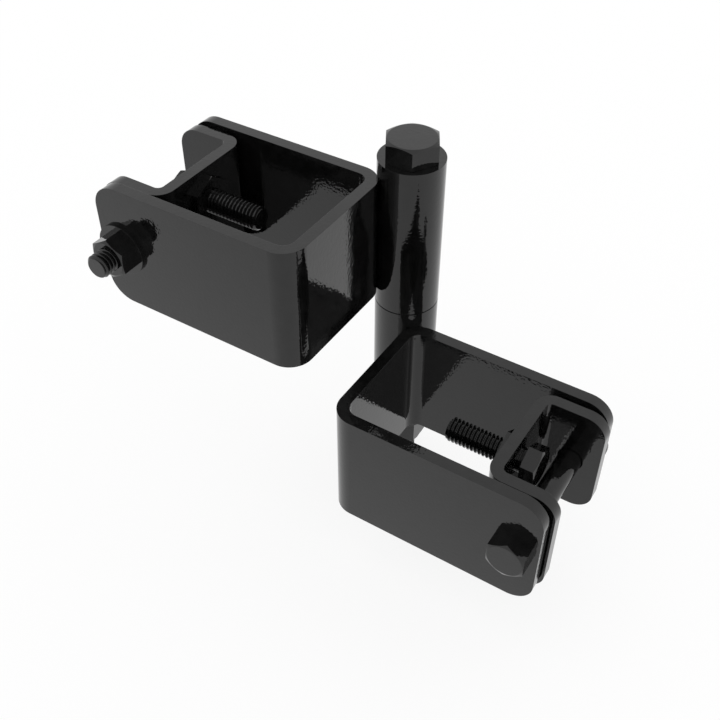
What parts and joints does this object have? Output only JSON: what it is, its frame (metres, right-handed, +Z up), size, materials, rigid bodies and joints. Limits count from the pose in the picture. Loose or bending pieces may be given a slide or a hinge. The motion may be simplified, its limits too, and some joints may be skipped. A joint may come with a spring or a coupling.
{
  "type": "bolt-on gate hinge",
  "caption": "Bolt-on gate hinge: folded box clamps for square tube, joined at their rear folds by an upright barrel that turns on a long hex bolt.",
  "frame": {"origin": "middle of the post clamp's seat, the inner face of the post bracket's web, where it bears on the post", "axes": "+X from the seat into the post, +Y to the side that the gate opens to, +Z up; the pivot is parallel to Z at x = -0.01095, y = 0.03675"},
  "size_m": [0.1897, 0.0945, 0.1603],
  "materials": {
    "black_plate": "gloss black coating on folded steel plate",
    "black_barrel": "gloss black coating on steel tube and weld",
    "black_hardware": "gloss black finish on bolts, nuts and washers",
    "nylon": "black nylon"
  },
  "bodies": {
    "post_side": {"post_bracket": "black_plate", "post_clamp_cap": "black_plate", "post_cross_bolt": "black_hardware", "post_cross_washer": "black_hardware", "post_cross_nut": "black_hardware", "lower_knuckle": "black_barrel", "lower_weld": "black_barrel", "pivot_bolt": "black_hardware", "pivot_nut": "black_hardware", "pivot_nut_insert": "nylon"},
    "gate_leaf": {"gate_bracket": "black_plate", "gate_clamp_cap": "black_plate", "gate_cross_bolt": "black_hardware", "gate_cross_washer": "black_hardware", "gate_cross_nut": "black_hardware", "upper_knuckle": "black_barrel", "upper_weld": "black_barrel"},
    "post_set_screw": {"post_set_bolt": "black_hardware"},
    "gate_set_screw": {"gate_set_bolt": "black_hardware"}
  },
  "joints": [
    {"name": "gate_swing", "type": "hinge", "parent": "post_side", "child": "gate_leaf", "pos_m": [-0.01095, 0.03675, 0.032], "axis": [0, 0, -1], "range_deg": [0, 180]},
    {"name": "post_set_travel", "type": "slide", "parent": "post_side", "child": "post_set_screw", "axis": [-1, 0, 0], "range_m": [0, 0.0019]},
    {"name": "gate_set_travel", "type": "slide", "parent": "gate_leaf", "child": "gate_set_screw", "axis": [1, 0, 0], "range_m": [0, 0.0019]}
  ]
}
